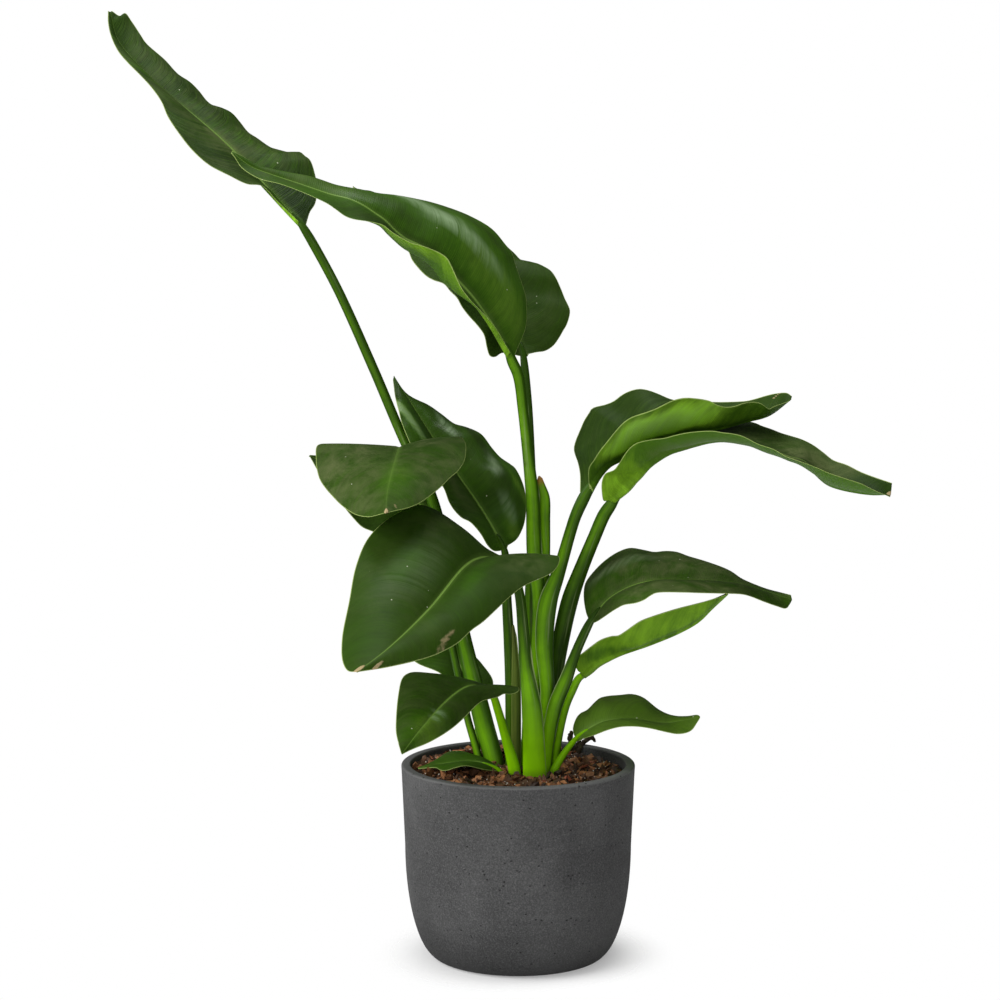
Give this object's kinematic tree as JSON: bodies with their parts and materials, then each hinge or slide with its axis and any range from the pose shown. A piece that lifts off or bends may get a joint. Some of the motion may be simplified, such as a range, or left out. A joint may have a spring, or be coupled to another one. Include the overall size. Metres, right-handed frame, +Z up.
{
  "type": "potted bird of paradise plant",
  "caption": "Young bird of paradise foliage plant with long-stalked paddle leaves, standing in soil in a plain dark grey cement pot with a rounded foot.",
  "frame": {"origin": "middle of the pot's flat foot, on the surface that it stands on", "axes": "+Z up along the pot's axis, +X to the right and +Y away from someone who sees the plant as in the picture"},
  "size_m": [0.7877, 0.5148, 0.9563],
  "materials": {
    "pot": "matte unglazed cement, finely pitted",
    "soil": "coarse potting mix of bark chips and white mineral grains",
    "stalk": "satin bright green leaf stalk",
    "blade": "satin dark green leathery leaf, paler and yellower underneath",
    "husk": "dull olive sheath leaf"
  },
  "bodies": {
    "root": {"pot": "pot", "soil": "soil", "stalk_01": "stalk", "blade_01": "blade", "stalk_02": "stalk", "blade_02": "blade", "stalk_03": "stalk", "blade_03": "blade", "stalk_04": "stalk", "blade_04": "blade", "stalk_05": "stalk", "blade_05": "blade", "stalk_06": "stalk", "blade_06": "blade", "stalk_07": "stalk", "blade_07": "blade", "stalk_08": "stalk", "blade_08": "blade", "stalk_09": "stalk", "blade_09": "blade", "stalk_10": "stalk", "blade_10": "blade", "stalk_11": "stalk", "blade_11": "blade", "stalk_12": "stalk", "blade_12": "blade", "stalk_13": "stalk", "blade_13": "blade", "stalk_14": "stalk", "blade_14": "blade", "stalk_15": "stalk", "blade_15": "blade", "rolled_leaf": "stalk", "husk": "husk"}
  },
  "joints": []
}
